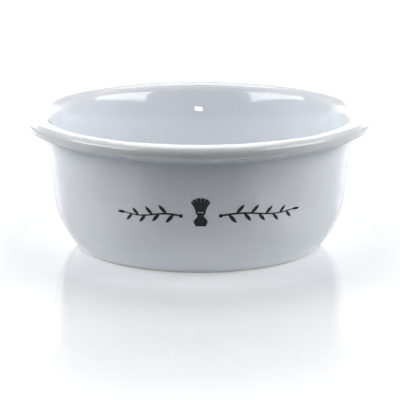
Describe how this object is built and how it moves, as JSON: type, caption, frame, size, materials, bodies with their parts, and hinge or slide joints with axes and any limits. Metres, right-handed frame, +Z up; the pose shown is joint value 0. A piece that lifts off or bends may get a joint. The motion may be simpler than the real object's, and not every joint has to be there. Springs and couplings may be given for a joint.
{
  "type": "shaving bowl",
  "caption": "Round porcelain lathering bowl with a wide rolled rim, a curved belly on a low foot ring and a small black brush-and-sprig print on the front.",
  "frame": {"origin": "on the bowl's axis, in the plane that its foot ring rests on", "axes": "+Z up along the bowl's axis of revolution; -Y towards the side that carries the print; +X to the right of a viewer who faces the print"},
  "size_m": [0.114, 0.114, 0.044],
  "materials": {
    "fired_clay": "matte",
    "white_glaze": "gloss",
    "black_print": "satin"
  },
  "bodies": {
    "root": {"porcelain_body": "fired_clay", "glaze_coat": "white_glaze", "base_glaze": "white_glaze", "print_centre_motif": "black_print", "print_left_sprig": "black_print", "print_right_sprig": "black_print"}
  },
  "joints": []
}
